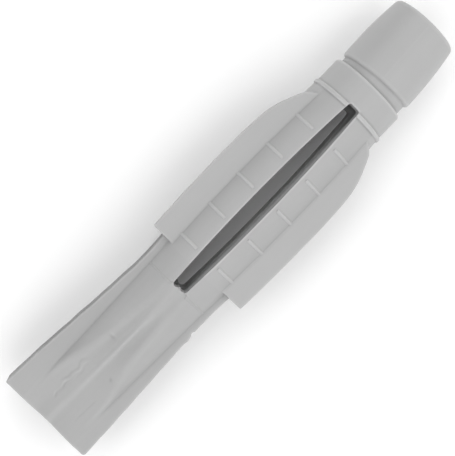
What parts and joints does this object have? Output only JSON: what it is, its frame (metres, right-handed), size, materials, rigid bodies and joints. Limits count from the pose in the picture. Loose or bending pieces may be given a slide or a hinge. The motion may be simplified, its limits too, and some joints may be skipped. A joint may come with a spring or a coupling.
{
  "type": "wall anchor",
  "caption": "Moulded plastic wall plug with a collar on a soft groove, a ribbed neck, spreading winged legs, and a flared tail that parts along a ridge.",
  "frame": {"origin": "centre of the neck, on the axis of the bore", "axes": "+X along the plug from its tip to its mouth, +Z out of one slotted face, wings along Y with the left half at +Y"},
  "size_m": [0.0503, 0.0112, 0.008],
  "materials": {
    "collar": "smooth moulded light grey, faint parting line",
    "neck": "smooth moulded light grey with a scuffed groove",
    "leg": "smooth moulded light grey",
    "rib": "smooth moulded light grey",
    "wing": "smooth moulded light grey, satin edges",
    "tail": "moulded light grey with flow marks in the valleys"
  },
  "bodies": {
    "socket": {"neck_sleeve": "neck", "groove_web": "neck", "rib_ring": "neck"},
    "collar": {"collar": "collar"},
    "left_leg": {"left_leg": "leg", "left_leg_ribs": "rib", "left_front_wing": "wing", "left_back_wing": "wing"},
    "right_leg": {"right_leg": "leg", "right_leg_ribs": "rib", "right_front_wing": "wing", "right_back_wing": "wing"},
    "left_tail": {"left_front_web": "tail", "left_back_web": "tail", "left_side_wall": "tail", "left_ridges": "tail"},
    "right_tail": {"right_front_web": "tail", "right_back_web": "tail", "right_side_wall": "tail", "right_ridges": "tail"}
  },
  "joints": [
    {"name": "left_leg_spread", "type": "hinge", "parent": "socket", "child": "left_leg", "pos_m": [-0.00172, 0.0039, 0], "axis": [0, 0, -1], "range_deg": [0, 5], "stiffness_Nm_per_rad": 0.004},
    {"name": "right_leg_spread", "type": "hinge", "parent": "socket", "child": "right_leg", "pos_m": [-0.00172, -0.0039, 0], "axis": [0, 0, 1], "range_deg": [0, 5], "stiffness_Nm_per_rad": 0.004},
    {"name": "left_tail_bend", "type": "hinge", "parent": "left_leg", "child": "left_tail", "pos_m": [-0.02138, 0.0008, 0], "axis": [0, 0, 1], "range_deg": [0, 5], "stiffness_Nm_per_rad": 0.004},
    {"name": "right_tail_bend", "type": "hinge", "parent": "right_leg", "child": "right_tail", "pos_m": [-0.02138, -0.0008, 0], "axis": [0, 0, -1], "range_deg": [0, 5], "stiffness_Nm_per_rad": 0.004},
    {"name": "collar_flex", "type": "hinge", "parent": "socket", "child": "collar", "pos_m": [0.00193, 0.0035, 0], "axis": [0, 0, 1], "range_deg": [-2.4, 3], "stiffness_Nm_per_rad": 0.004}
  ],
  "couplings": [
    {"joint": "right_leg_spread", "follows": "left_leg_spread", "ratio": 1},
    {"joint": "left_tail_bend", "follows": "left_leg_spread", "ratio": 1},
    {"joint": "right_tail_bend", "follows": "left_leg_spread", "ratio": 1}
  ]
}
